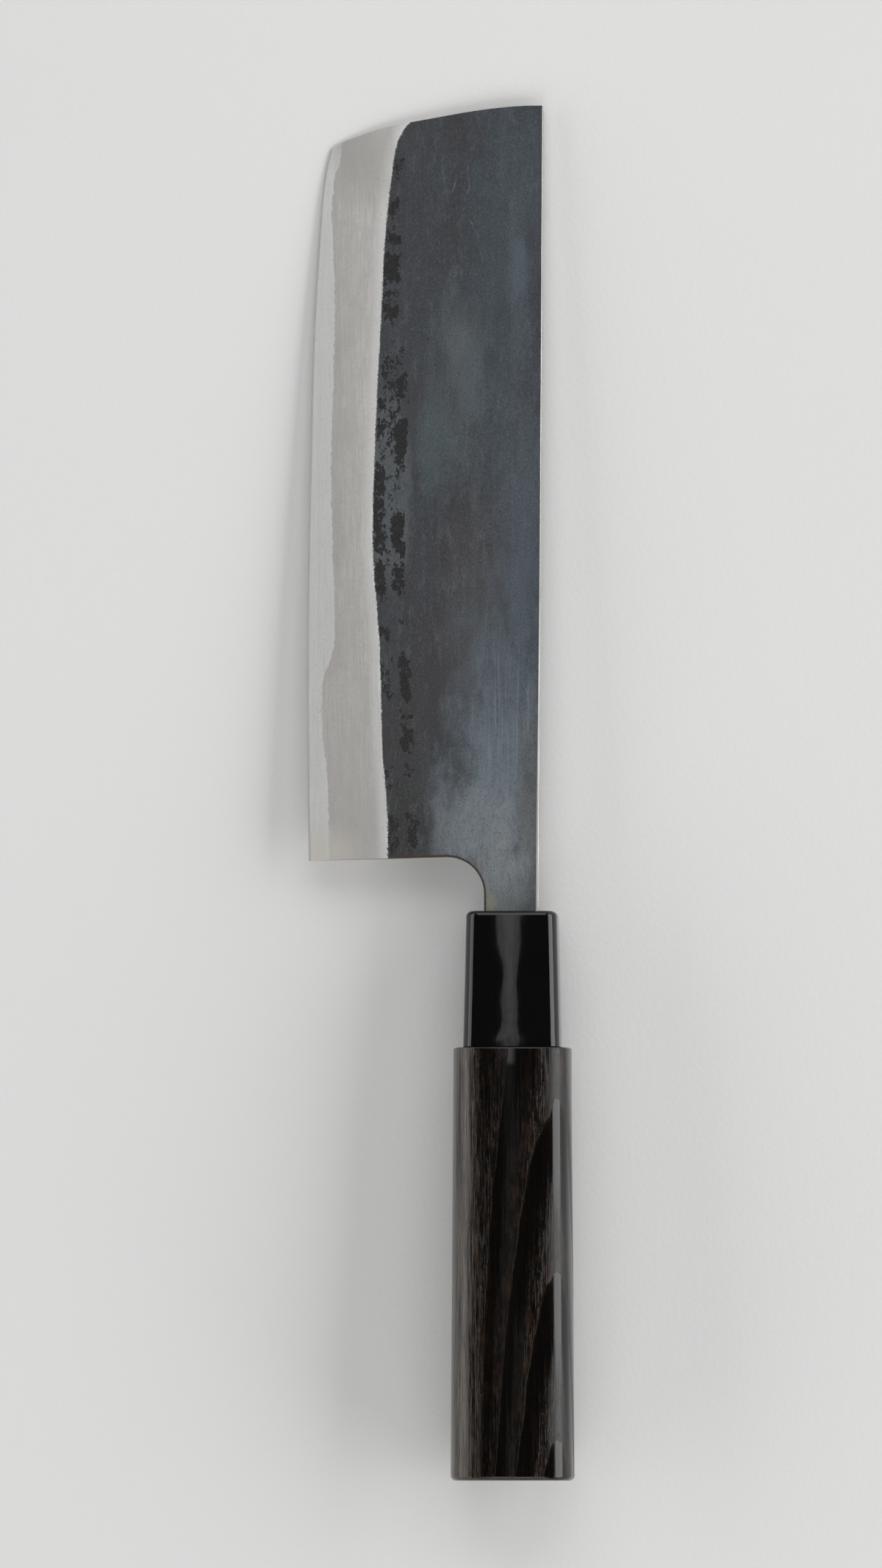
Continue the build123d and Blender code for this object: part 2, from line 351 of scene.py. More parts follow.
# each line is a list of (share of the blade's length, share of its height, rise or show)
BEVEL_LINE = [
    (0.0, 0.652), (0.07, 0.655), (0.15, 0.675), (0.235, 0.682), (0.31, 0.692), (0.39, 0.713),
    (0.45, 0.717), (0.52, 0.710), (0.60, 0.701), (0.71, 0.682), (0.82, 0.665), (0.896, 0.640),
    (0.94, 0.620), (0.965, 0.590), (0.978, 0.557), (1.0, 0.480),
]
EDGE_LINE = [
    (0.0, 0.06), (0.113, 0.0), (0.358, 0.0), (0.575, 0.14), (0.73, 0.30), (0.848, 0.55),
    (0.909, 0.76), (0.942, 1.0), (1.0, 1.0),
]
CORE_LINE = [
    (0.0, 0.74), (0.09, 0.75), (0.17, 0.56), (0.215, 0.52), (0.262, 0.81), (0.30, 1.0),
    (0.42, 0.90), (0.54, 0.78), (0.63, 0.79), (0.73, 0.74), (0.81, 0.57), (0.90, 0.36),
    (0.95, 0.40), (1.0, 0.45),
]
# black flakes of scale beside the bevel: from and to a share of the blade's length, how dense
NEAR_FLAKES = [
    (0.015, 0.060, 0.80), (0.090, 0.125, 0.55), (0.217, 0.257, 0.70), (0.295, 0.315, 0.95),
    (0.350, 0.398, 0.95), (0.405, 0.517, 0.98), (0.520, 0.577, 1.05), (0.580, 0.611, 1.10),
    (0.638, 0.670, 0.75), (0.718, 0.733, 1.05), (0.737, 0.752, 1.05), (0.765, 0.802, 1.05),
    (0.815, 0.833, 0.95), (0.855, 0.8745, 0.85), (0.911, 0.928, 0.85),
]
FAR_FLAKES = [
    (0.015, 0.060, 0.80), (0.113, 0.1255, 0.8), (0.14, 0.176, 0.95), (0.183, 0.2006, 0.9),
    (0.212, 0.271, 0.95), (0.315, 0.324, 0.8), (0.3545, 0.392, 0.95), (0.399, 0.450, 1.30),
    (0.453, 0.575, 1.34), (0.578, 0.641, 1.20),
]
LOOSE_FLAKES = [(0.385, 0.520, 0.48), (0.530, 0.680, 0.62)]
STRONGEST_FLAKES = 1.4  # a curve node holds 0 to 1, so strengths are shares of this


def curve_of(recipe, value, points, straight=False):
    """A Float Curve node through the given points."""
    node = recipe.node("FloatCurve", {"Value": value})
    curve = node.mapping.curves[0]
    curve.points[0].location = points[0]
    curve.points[1].location = points[-1]
    for point in points[1:-1]:
        curve.points.new(*point)
    if straight:
        for point in curve.points:
            point.handle_type = "VECTOR"
    node.mapping.update()
    return node.outputs[0]


def bands(recipe, value, rows, slope=0.009):
    """A number that rises to each row's strength between its two places."""
    points = [(0.0, 0.0)]
    for start, end, strength in rows:
        points.append((max(start - slope, points[-1][0] + 0.0005), 0.0))
        points.append((start + slope / 2, strength / STRONGEST_FLAKES))
        points.append((end - slope / 2, strength / STRONGEST_FLAKES))
        points.append((end + slope, 0.0))
    points.append((1.0, 0.0))
    share = curve_of(recipe, value, points, straight=True)
    return recipe.times(share, STRONGEST_FLAKES)


print("bevel line points:", len(BEVEL_LINE))


# %% Blade: where on the blade
HONED_FACING = 0.975  # a surface that faces out of the flat less than this is the honed edge
SIDE_FACING = 0.9  # and one that does so less than this, a narrow side


class BladePlace:
    """Sockets that say where a point of the blade lies, for the finish to follow."""

    def __init__(self, m):
        axes = m.node("SeparateXYZ", {0: m.own_place()}).outputs
        self.x, self.y = axes["X"], axes["Y"]
        share = m.math("DIVIDE", m.minus(self.x, NECK_LENGTH), BLADE_LENGTH)
        self.share = share
        line = m.times(curve_of(m, share, BEVEL_LINE), BLADE_HEIGHT)
        line = m.minus(line, SPINE_OFFSET)
        self.above_line = m.minus(line, self.y)  # towards the spine
        rise = m.times(curve_of(m, share, EDGE_LINE), EDGE_RISE)
        edge = m.minus(BLADE_HEIGHT - SPINE_OFFSET, rise)
        show = m.times(curve_of(m, share, CORE_LINE), CORE_SHOW)
        core_line = m.minus(edge, show)
        self.past_core = m.minus(self.y, core_line)  # towards the edge
        spine = m.times(self.x, SPINE_RISE / (NECK_LENGTH + BLADE_LENGTH))
        spine = m.math("ADD", spine, SPINE_OFFSET)
        self.from_spine = m.math("ADD", self.y, spine)
        # how far the point lies inside the outline of neck, hollow and heel
        up_heel = m.math("MAXIMUM", m.minus(self.y, HOLLOW_MIDDLE[1]), 0.0)
        ahead = m.minus(self.x, HOLLOW_MIDDLE[0])
        ahead = m.math("MAXIMUM", m.math("MULTIPLY_ADD", up_heel, HEEL_SLOPE, ahead), 0.0)
        above = m.math("MAXIMUM", m.minus(HOLLOW_MIDDLE[1], self.y), 0.0)
        reach = m.node("CombineXYZ", {"X": ahead, "Y": above}).outputs[0]
        self.inside_heel = m.minus(m.length(reach), HOLLOW_RADIUS)
        facing = m.facing(own_z)
        self.narrow = m.math("LESS_THAN", facing, SIDE_FACING)
        self.honed = m.math("LESS_THAN", facing, HONED_FACING)


def soft_patch(m, middle, half, wobble, reach=0.55):
    """A cloudy patch of the blade around middle (x, y), with half lengths in mm."""
    where = m.node("Mapping", {"Vector": m.own_place()}, vector_type="TEXTURE")
    where.inputs["Location"].default_value = (*middle, 0)
    where.inputs["Scale"].default_value = (*half, 1000)
    far = m.math("ADD", m.length(where.outputs[0]), wobble)
    return m.ramp(far, 1.0 - reach, 1.0 + reach, 1.0, 0.0)


print("places on the blade ready")

# %% [markdown]
# ### Ground metal
# A whetstone leaves fine hairlines, so noises drawn out along the blade make the bare metal.
# Broader ones cloud it and small ones leave pits. The core is a cooler, paler steel than the
# iron, and meets it in a wavy, slightly ragged weld line.

# %% Blade: ground metal of the bevel
IRON_COLOUR = (0.864, 0.838, 0.806)
CORE_COLOUR = (0.960, 0.956, 0.946)
TIP_CLOUD = ((167, 33), (10, 7))  # middle and half lengths of a patch, in mm
HEEL_FOOT = ((13, 40), (4, 6))


def iron(factor):
    return tuple(min(1.0, factor * c) for c in IRON_COLOUR)


def core(factor):
    return tuple(min(1.0, factor * c) for c in CORE_COLOUR)


def ground_metal(m, at, on_iron):
    """Satin metal with lengthwise scratches, and on the iron the tints of its two borders."""
    hair = m.own_noise((0.10, 5.0, 5.0), detail=4.0, roughness=0.75)
    wide = m.own_noise((0.02, 0.7, 0.7), detail=4.0, roughness=0.6)
    speck = m.own_noise((2.2, 3.4, 3.4), detail=3.0, roughness=0.8)
    cloud = m.own_noise((0.05, 0.11, 0.11), (3.0, 7.0, 0), detail=5.0)
    mottle = m.own_noise((0.35, 0.5, 0.5), (1.0, 4.0, 0), detail=4.0, roughness=0.7)
    out = m.blend(m.ramp(hair, 0.30, 0.70), iron(0.83), iron(1.12))
    for noise, low, high, weight, dim in (
        (wide, 0.35, 0.70, 0.35, 0.86), (speck, 0.45, 0.75, 0.60, 0.74),
        (mottle, 0.42, 0.66, 0.60, 0.84), (cloud, 0.46, 0.72, 0.55, 0.84),
    ):
        out = m.blend(m.ramp(noise, low, high, 0.0, weight), out, iron(dim))
    jagged = m.own_noise((0.9, 0.9, 0.9), detail=4.0, roughness=0.7)
    weld = m.math("MULTIPLY_ADD", m.minus(jagged, 0.75), 1.4, at.past_core)
    if on_iron:
        # the iron beside the weld line is a little darker and warmer, and paler by the scale
        wavy = m.math("ADD", at.past_core, m.times(wide, 1.2))
        by_core = m.times(m.ramp(wavy, -6.0, 0.3), m.ramp(cloud, 0.35, 0.6, 0.5, 1.0))
        out = m.blend(m.times(by_core, 0.45), out, (0.585, 0.555, 0.535))
        out = m.blend(m.ramp(at.x, 52.0, 18.0, 0.0, 0.50), out, iron(0.80))
        by_scale = m.ramp(at.above_line, -3.4, -0.2, 0.0, 0.85)
        out = m.blend(by_scale, out, iron(1.22))
    streaks = m.own_noise((0.012, 1.3, 1.3))
    steel = m.blend(m.ramp(hair, 0.30, 0.72), core(0.93), core(1.04))
    steel = m.blend(m.ramp(streaks, 0.45, 0.7, 0.0, 0.5), steel, core(0.90))
    out = m.blend(m.ramp(weld, -0.62, -0.30), out, steel)
    seam = m.ramp(m.math("ABSOLUTE", m.math("ADD", weld, 0.30)), 0.05, 0.40, 0.45, 0.0)
    out = m.blend(seam, out, core(1.08))
    pits = m.own_noise((2.6, 3.6, 3.6), (7.0, 2.0, 0), roughness=0.9)
    out = m.blend(m.ramp(pits, 0.60, 0.74, 0.0, 0.65), out, iron(0.42))
    tip_cloud = soft_patch(m, *TIP_CLOUD, m.swing(cloud, 2.0))
    out = m.blend(m.times(tip_cloud, 0.6), out, iron(0.66))
    heel_foot = soft_patch(m, *HEEL_FOOT, m.swing(cloud, 1.5), 0.9)
    out = m.blend(m.times(heel_foot, 0.6), out, (0.96, 0.90, 0.82))
    return out, hair, speck


print("ground metal ready")

# %% [markdown]
# ### Forge scale
# The cheeks were never ground. Heat left them a skin of oxide, brown-black, teal and pale blue
# in clouds. Each cloud is listed one by one and a noise makes its border wander, because pure
# noise would never match the knife. Fine grain and faint streaks lie over them all.

# %% Blade: clouds of the scale
SCALE_CLOUDS = [  # middle, half lengths in mm, colour, weight
    ((128, 3), (60, 7), (0.042, 0.058, 0.074), 0.80),
    ((156, -1), (16, 7), (0.058, 0.078, 0.092), 0.60),
    ((112, 12), (17, 6), (0.068, 0.080, 0.086), 0.75),
    ((102, 17), (9, 4), (0.066, 0.094, 0.098), 0.80),
    ((92, -2), (26, 5), (0.066, 0.080, 0.094), 0.80),
    ((64, 8), (22, 7), (0.066, 0.063, 0.064), 0.70),
    ((64, -2), (30, 4), (0.066, 0.088, 0.112), 0.80),
    ((46, 3), (20, 8), (0.080, 0.104, 0.128), 0.80),
    ((31, 3), (13, 8), (0.130, 0.162, 0.190), 0.90),
    ((19, 8), (10, 10), (0.190, 0.218, 0.242), 0.85),
    ((17, -4), (22, 2.6), (0.105, 0.106, 0.104), 0.75),
    ((5, 3.5), (11, 6), (0.235, 0.258, 0.270), 0.90),
    ((2, 5.4), (2.4, 1.6), (0.36, 0.35, 0.25), 0.60),
    ((140, -1), (12, 1.6), (0.100, 0.140, 0.170), 0.55),
    ((125, 12), (7, 3.5), (0.115, 0.125, 0.130), 0.55),
    ((116, 9), (8, 2.5), (0.090, 0.125, 0.150), 0.50),
]
DENSE_FLAKES = ((92, 27), (21, 5))  # where scale between the flakes is paler
SMUDGE = ((17, 23), (9, 5))
RUBBED = ((42, 2), (14, 6))
print("clouds of the scale:", len(SCALE_CLOUDS))


# %% Blade: forge scale of the cheeks
def forge_scale(m, at):
    """Blue-grey scale with brown and teal clouds, fine speckle and lengthwise streaks."""
    big = m.own_noise((0.035, 0.07, 0.07), (11.0, 3.0, 0), detail=5.0, roughness=0.6)
    middle = m.own_noise((0.12, 0.24, 0.24), (5.0, 1.0, 0), detail=5.0, roughness=0.65)
    grain = m.own_noise((2.3, 2.7, 2.7), detail=3.0, roughness=0.85)
    streak = m.own_noise((0.06, 2.6, 2.6), detail=4.0, roughness=0.7)
    wobble = m.swing(middle, 2.2)

    out = m.blend(m.ramp(big, 0.38, 0.62), (0.037, 0.036, 0.041), (0.039, 0.046, 0.055))
    for centre, half, colour, weight in SCALE_CLOUDS:
        mask = m.times(soft_patch(m, centre, half, wobble, 0.75), weight)
        out = m.blend(mask, out, colour)
    band = m.ramp(at.above_line, 7.5, 10.5, 1.0, 0.0)
    toward_heel = m.ramp(at.x, 95.0, 15.0, 0.10, 0.70)
    out = m.blend(m.times(band, toward_heel), out, (0.036, 0.035, 0.036))
    dense = soft_patch(m, *DENSE_FLAKES, m.times(wobble, 0.4), 0.3)
    out = m.blend(m.times(dense, 0.75), out, (0.094, 0.108, 0.118))
    far_border = m.math("MULTIPLY_ADD", middle, 1.6, 7.6)
    beside = m.math("ABSOLUTE", m.minus(at.above_line, far_border))
    beside = m.times(m.ramp(beside, 0.15, 0.7, 0.5, 0.0), m.ramp(at.x, 140.0, 105.0))
    out = m.blend(beside, out, (0.046, 0.041, 0.045))
    smudge = soft_patch(m, *SMUDGE, m.times(wobble, 1.3), 0.4)
    out = m.blend(m.times(smudge, 0.8), out, (0.026, 0.026, 0.026))

    haze = m.own_noise((0.16, 0.55, 0.55), (4.0, 9.0, 0), detail=6.0, roughness=0.7)
    out = m.blend(m.ramp(haze, 0.50, 0.72, 0.0, 0.46), out, (0.110, 0.122, 0.130))
    out = m.blend(m.ramp(haze, 0.30, 0.48, 0.38, 0.0), out, (0.036, 0.034, 0.036))
    out = m.blend(m.ramp(grain, 0.30, 0.54, 0.60, 0.0), out, (0.018, 0.018, 0.020))
    out = m.blend(m.ramp(grain, 0.50, 0.74, 0.0, 0.58), out, (0.136, 0.140, 0.144))
    out = m.blend(m.ramp(streak, 0.52, 0.80, 0.0, 0.18), out, (0.14, 0.16, 0.18))
    rubbed = soft_patch(m, *RUBBED, wobble)
    rubs = m.times(rubbed, m.ramp(streak, 0.42, 0.72, 0.0, 0.50))
    out = m.blend(rubs, out, (0.20, 0.24, 0.27))
    # handling left the heel's corner pale, and rust sits on the very edge of hollow and neck
    worn = m.ramp(m.math("MULTIPLY_ADD", middle, 1.4, at.inside_heel), 1.2, 0.4, 0.0, 0.7)
    out = m.blend(worn, out, (0.17, 0.19, 0.20))
    rust = m.ramp(m.math("MULTIPLY_ADD", grain, 0.35, at.inside_heel), 0.78, 0.42)
    out = m.blend(m.times(rust, m.ramp(at.y, 36.0, 24.0)), out, (0.050, 0.026, 0.014))
    return out, grain, streak


print("forge scale ready")

# %% [markdown]
# ### Flakes and scratches
# Thick scale broke off in lumps and left two broken columns of black flakes beside the bevel.
# The lists above say how dense they are along the blade; round cells and a clumping noise then
# decide where a flake has stayed. A few thin arcs are scratches from use.

# %% Blade: places of the flakes
NEAR_COLUMN = (1.2, 0.7, 2.3)  # mm above the line, half width where full, half width where gone
WIDE_COLUMN = (1.9, 1.0, 2.9)
LOOSE_COLUMN = (3.4, 1.2, 3.0)
FAR_COLUMN = (5.5, 0.6, 2.3)
WIDE_FROM, WIDE_TO = 0.7, 0.845  # shares of the blade where the near column is the wide one
SCALE_LIMIT = (7.0, 7.3)  # mm above the line, past which no flake is left


def column(m, off, row):
    """1 in the middle of a column of flakes, and 0 beside it."""
    middle, full, gone = row
    return m.ramp(m.math("ABSOLUTE", m.minus(off, middle)), full, gone, 1.0, 0.0)


print("far column:", FAR_COLUMN[0], "mm above the line")


# %% Blade: black flakes
def black_flakes(m, at):
    """How much of the thick black scale is left beside the bevel, from 0 to 1."""
    sway = m.own_noise((0.22, 0.22, 0.22), (8.0, 1.0, 0))
    off = m.shaken(at.above_line, sway, 2.2)
    past_start = m.math("GREATER_THAN", at.share, WIDE_FROM)
    in_wide = m.times(past_start, m.math("LESS_THAN", at.share, WIDE_TO))
    near = m.weigh(in_wide, column(m, off, NEAR_COLUMN), column(m, off, WIDE_COLUMN))
    within = m.ramp(at.above_line, *SCALE_LIMIT, 1.0, 0.0)
    far = m.times(column(m, off, FAR_COLUMN), within)
    jitter = m.own_noise((0.5, 0.9, 0.9), (3.0, 0, 0), detail=3.0)
    shifted = m.shaken(at.share, jitter, 0.045)
    near = m.times(near, bands(m, shifted, NEAR_FLAKES))
    far = m.times(far, bands(m, shifted, FAR_FLAKES))
    loose = m.times(column(m, off, LOOSE_COLUMN), bands(m, shifted, LOOSE_FLAKES))
    place = m.math("MAXIMUM", m.math("MAXIMUM", near, far), loose)
    # round lumps that run together where the scale is dense
    cells = m.own_place((1.2, 1.6, 0.0))
    lumps = m.node("TexVoronoi", {"Vector": cells, "Scale": 1.0})
    clump = m.own_noise((0.50, 0.75, 0.0), (2.0, 6.0, 0), detail=4.0, roughness=0.68)
    lumpy = m.math("MULTIPLY_ADD", lumps.outputs["Distance"], 0.60, 0.32)
    lumpy = m.shaken(lumpy, clump, 2.6)
    lace = m.own_noise((2.6, 3.0, 0.0), (5.0, 3.0, 0), detail=3.0, roughness=0.7)
    lumpy = m.shaken(lumpy, lace, 1.3)
    return m.ramp(m.minus(place, lumpy), -0.05, 0.12)


print("flakes ready")

# %% Blade: fine scratches
SCRATCH_BEND = 1.6  # mm by which an arc wanders
SCRATCH_WIDTH = (0.02, 0.08)  # mm from its middle, where full and where gone
SCRATCHES = [  # middle x and y of the arc, its radius, which part of it shows (x, y, reach)
    ((162.0, 20.0), 8.0, (159.0, 12.6, 2.0)),
    ((160.5, 24.0), 14.5, (159.5, 8.8, 4.0)),
    ((166.0, 2.0), 15.0, (166.5, 17.0, 2.6)),
    ((140.0, 26.0), 20.0, (149.0, 8.5, 2.4)),
    ((40.0, 30.0), 34.0, (46.0, -3.5, 4.0)),
]


def hair_scratches(m):
    """A few fine curved scratches, each a short stretch of a thin ring."""
    bend = m.own_noise((0.35, 0.35, 0.0))
    total = None
    for middle, radius, (x, y, reach) in SCRATCHES:
        from_middle = m.length(m.own_place((1, 1, 0), (-middle[0], -middle[1], 0)))
        bent = m.math("MULTIPLY_ADD", bend, SCRATCH_BEND, radius - SCRATCH_BEND / 2)
        off = m.minus(from_middle, bent)
        line = m.ramp(m.math("ABSOLUTE", off), *SCRATCH_WIDTH, 1.0, 0.0)
        line = m.times(line, soft_patch(m, (x, y), (reach, reach), 0.0, 0.3))
        total = line if total is None else m.math("MAXIMUM", total, line)
    return m.times(total, m.ramp(bend, 0.35, 0.6, 0.10, 0.5))


print("scratches:", len(SCRATCHES))

# %% [markdown]
# ### The blade's finish
# One recipe serves all three layers: scale above the line, bare metal below it, and brushed
# metal on the narrow sides. Masks choose between them, so every layer shares the same borders.

# %% Blade: the whole finish
SPINE_POLISH = (0.62, 0.16)  # mm, how wide the spine's eased corner shines, at neck and tip
SPINE_POLISH_REACH = 95.0  # x where it is down to the narrower width
HOLLOW_SIDE = 0.6  # mm inside the heel's outline that count as the hollow's own side
HOLLOW_END = 14.0  # x past which it is the heel's side


def blade_metal(name, on_iron):
    m = Recipe(name)
    at = BladePlace(m)
    bare, hair, speck = ground_metal(m, at, on_iron)
    scale, grain, streak = forge_scale(m, at)
    flakes = black_flakes(m, at)
    flake_black = m.blend(m.ramp(grain, 0.36, 0.66), (0.001, 0.001, 0.001), (0.022, 0.022, 0.023))
    scale = m.blend(flakes, scale, flake_black)
    scale = m.blend(hair_scratches(m), scale, (0.26, 0.28, 0.29))

    # the border between scale and ground metal is ragged by a few tenths of a millimetre
    ragged = m.math("MULTIPLY_ADD", speck, 1.1, m.times(hair, 0.8))
    border = m.math("ADD", at.above_line, m.minus(ragged, 0.95))
    on_bevel = m.ramp(border, -0.16, 0.12, 1.0, 0.0)

    # the spine's corner was eased and polished, widest at the neck
    eased = m.ramp(at.x, 0.0, SPINE_POLISH_REACH, *SPINE_POLISH)
    polish = m.math("LESS_THAN", at.from_spine, eased)
    hollow = m.math("LESS_THAN", at.inside_heel, HOLLOW_SIDE)
    hollow = m.times(hollow, m.math("LESS_THAN", at.x, HOLLOW_END))
    side = m.blend(m.ramp(hair, 0.3, 0.7), (0.34, 0.33, 0.31), (0.62, 0.61, 0.585))
    side = m.blend(m.ramp(speck, 0.48, 0.70, 0.0, 0.6), side, (0.24, 0.225, 0.21))
    side = m.blend(hollow, side, m.blend(speck, (0.085, 0.066, 0.054), (0.190, 0.160, 0.138)))

    out = m.blend(on_bevel, scale, bare)
    out = m.blend(m.times(at.honed, on_bevel), out, (0.50, 0.50, 0.49))
    out = m.blend(polish, out, (0.78, 0.77, 0.74))
    out = m.blend(at.narrow, out, side)
    bright = m.math("MAXIMUM", m.math("MAXIMUM", on_bevel, polish), at.narrow)
    scale_rough = m.weigh(flakes, m.ramp(streak, 0.3, 0.8, 0.56, 0.42), 0.8)
    rough = m.weigh(bright, scale_rough, m.weigh(at.honed, m.weigh(hair, 0.42, 0.50), 0.55))
    grooves = m.bump(hair, 0.00002, 0.5)
    lumps = m.bump(m.math("ADD", grain, m.times(flakes, 1.2)), 0.00003, 0.5, grooves)
    return m.finish({
        "Base Color": out,
        "Metallic": m.times(bright, 0.85),
        "Roughness": rough,
        "Normal": lumps,
    })


iron_finish = blade_metal("forged_iron", on_iron=True)
core_finish = blade_metal("ground_core_steel", on_iron=False)
print("blade finishes:", iron_finish.name, core_finish.name)


# %% Blade: put the finishes on
def dress(node_name, material):
    """Gives a CAD node its finish, in every slot that it has."""
    node = frame["nodes"][node_name]
    if not node.material_slots:
        node.data.materials.append(material)
    for material_slot in node.material_slots:
        material_slot.material = material


dress("core_steel", core_finish)
dress("cladding_left", iron_finish)
dress("cladding_right", iron_finish)
print("dressed:", "core_steel, cladding_left, cladding_right")

# %% [markdown]
# ## The handle's section
# Ferrule and grip share one kind of section: broad faces with a slight crown, sides that bulge,
# and round corners between them. We walk round it by the way its surface looks, because then
# every corner gets as many points as it needs, and an inset for a rounded rim is just a shorter
# radius.


# %% Helper: walk round a crowned section
SIDE_STEPS = 6  # points along half a side, a corner and half a crown
CORNER_STEPS = 10
CROWN_STEPS = 8
AROUND = 4 * (SIDE_STEPS + CORNER_STEPS + CROWN_STEPS)


def crossing_of_circles(c_top, reach_top, c_side, reach_side):
    """Where the corner's centre lies: circles round (0, c_top) and (c_side, 0) meet there."""
    apart = math.hypot(c_side, c_top)
    along = (reach_top ** 2 - reach_side ** 2 + apart ** 2) / (2 * apart)
    off = math.sqrt(max(reach_top ** 2 - along ** 2, 0.0))
    ux, uy = c_side / apart, -c_top / apart
    first = (ux * along - uy * off, c_top + uy * along + ux * off)
    second = (ux * along + uy * off, c_top + uy * along - ux * off)
    return first if first[0] > 0 and first[1] > 0 else second


def crowned_section(width, thickness, crown, bulge, corner, inset=0.0):
    """Points round the section, counter-clockwise from +y."""
    side, top = width / 2, thickness / 2
    half_chord, half_side = side - bulge, top - crown
    r_top = (half_chord ** 2 + crown ** 2) / (2 * crown)
    r_side = (half_side ** 2 + bulge ** 2) / (2 * bulge)
    c_top, c_side = top - r_top, side - r_side
    corner_y, corner_z = crossing_of_circles(c_top, r_top - corner, c_side, r_side - corner)
    side_turn = math.atan2(corner_z, corner_y - c_side)
    top_turn = math.atan2(corner_z - c_top, corner_y)
    arcs = (
        (c_side, 0.0, r_side, 0.0, side_turn, SIDE_STEPS),
        (corner_y, corner_z, corner, side_turn, top_turn, CORNER_STEPS),
        (0.0, c_top, r_top, top_turn, math.pi / 2, CROWN_STEPS),
    )
    points = []
    for middle_y, middle_z, radius, start, end, steps in arcs:
        for i in range(steps):
            angle, reach = start + (end - start) * i / steps, radius - inset
            points.append((middle_y + reach * math.cos(angle), middle_z + reach * math.sin(angle)))
    left = [(-y, z) for y, z in reversed(points[1:])]
    points.append((0.0, c_top + r_top - inset))
    half = points + left
    return half + [(-y, -z) for y, z in half]


print("points round a section:", AROUND)


# %% Helpers: rings and tubes
CREASE = math.radians(40)  # edges with a sharper turn than this stay crisp


def ring(bm, x, points):
    """A closed ring of the given section at x, made from a circle. Returns its edges."""
    made = bmesh.ops.create_circle(bm, cap_ends=False, segments=len(points), radius=1.0)
    for vertex, (y, z) in zip(made["verts"], points):
        vertex.co = (x, y, z)
    edges = {edge for vertex in made["verts"] for edge in vertex.link_edges}
    return sorted(edges, key=lambda edge: edge.index)


def tube(bm, stations):
    """Bridges one ring to the next. Each station is (x, points)."""
    rings = []
    for x, points in stations:
        rings.append(ring(bm, x, points))
        if len(rings) > 1:
            bmesh.ops.bridge_loops(bm, edges=rings[-2] + rings[-1])
    return rings


def flat_oval(width, thickness, squareness=2.0, middle=0.0):
    """An ellipse, or with more squareness a slot with small corner radii."""
    points = []
    for i in range(AROUND):
        angle = 2 * math.pi * i / AROUND
        y, z = math.cos(angle), math.sin(angle)
        y = math.copysign(abs(y) ** (2 / squareness), y) * width / 2
        z = math.copysign(abs(z) ** (2 / squareness), z) * thickness / 2
        points.append((middle + y, z))
    return points


def lay_in_room(bm, name, material):
    """Makes an object of the scene from a finished bmesh in the knife's millimetres."""
    bmesh.ops.transform(bm, matrix=knife_to_room, verts=bm.verts)
    bmesh.ops.recalc_face_normals(bm, faces=bm.faces)
    for face in bm.faces:
        face.smooth = True
    for edge in bm.edges:
        if len(edge.link_faces) == 2 and edge.calc_face_angle() > CREASE:
            edge.smooth = False
    open_edges = sum(1 for edge in bm.edges if len(edge.link_faces) != 2)
    mesh = bpy.data.meshes.new(name)
    bm.to_mesh(mesh)
    bm.free()
    mesh.materials.append(material)
    piece = bpy.data.objects.new(name, mesh)
    bpy.context.collection.objects.link(piece)
    print(name, "faces:", len(mesh.polygons), "open edges:", open_edges)
    return piece


print("ring helpers ready")

# %% [markdown]
# ## Ferrule
# The black collar is polished horn or resin: a single tapered sleeve with a slot in its front
# wall for the neck and a socket behind it for the grip's tenon. It is built as one closed skin,
# ring after ring: up through the slot, round the rim, along the outside, and back through the
# socket. A rim of many fine rings is what makes the highlight run cleanly round the corner.

# %% Ferrule: sizes
FERRULE_FRONT = (20.1, 16.8)  # width, thickness
FERRULE_BACK = (21.5, 18.0)
FERRULE_SHAPE = (0.5, 3.2)  # bulge, corner radius
FERRULE_CROWNS = [  # x, height of the crown: polishing by hand left it a little uneven
    (0.0, 0.62), (-7.0, 0.72), (-15.5, 1.35), (-20.0, 1.05), (-25.0, 1.15), (-28.2, 0.62),
    (-FERRULE_LENGTH, 0.75),
]
FERRULE_RIM = 1.2
FERRULE_RIM_STEPS = 10
FERRULE_STEPS = 28
FERRULE_BACK_CHAMFER = 0.2
SLOT = (12.46, 4.36)
SLOT_LIP = 0.1
SLOT_MIDDLE = 0.15
SLOT_DEPTH = 4.0
SOCKET = (16.1, 12.7)
SMALL_CORNERS = 9.0  # squareness of slot and mortise


def tapered(x, x_front, x_back, front, back):
    """Width and thickness of a tapered bar at x."""
    share = (x - x_front) / (x_back - x_front)
    return [a + (b - a) * share for a, b in zip(front, back)]


def ferrule_crown(x):
    """How high the broad faces are crowned at x, eased from one listed place to the next."""
    for (x_a, crown_a), (x_b, crown_b) in zip(FERRULE_CROWNS, FERRULE_CROWNS[1:]):
        if x >= x_b:
            share = min(1.0, (x_a - x) / (x_a - x_b))
            return crown_a + (crown_b - crown_a) * share * share * (3 - 2 * share)
    return FERRULE_CROWNS[-1][1]


def ferrule_points(x, inset=0.0):
    """The ferrule's outer section at x, or one that lies inside it by inset."""
    width, thickness = tapered(x, 0.0, -FERRULE_LENGTH, FERRULE_FRONT, FERRULE_BACK)
    return crowned_section(width, thickness, ferrule_crown(x), *FERRULE_SHAPE, inset=inset)


def rounded_rim(x_face, toward, radius, steps):
    """(x, inset) pairs round a rim, from the flat face to the side."""
    pairs = []
    for i in range(steps + 1):
        angle = math.pi / 2 * i / steps
        back = radius * (1 - math.cos(angle))
        pairs.append((x_face + toward * back, radius * (1 - math.sin(angle))))
    return pairs


print("ferrule:", FERRULE_LENGTH, "mm long")

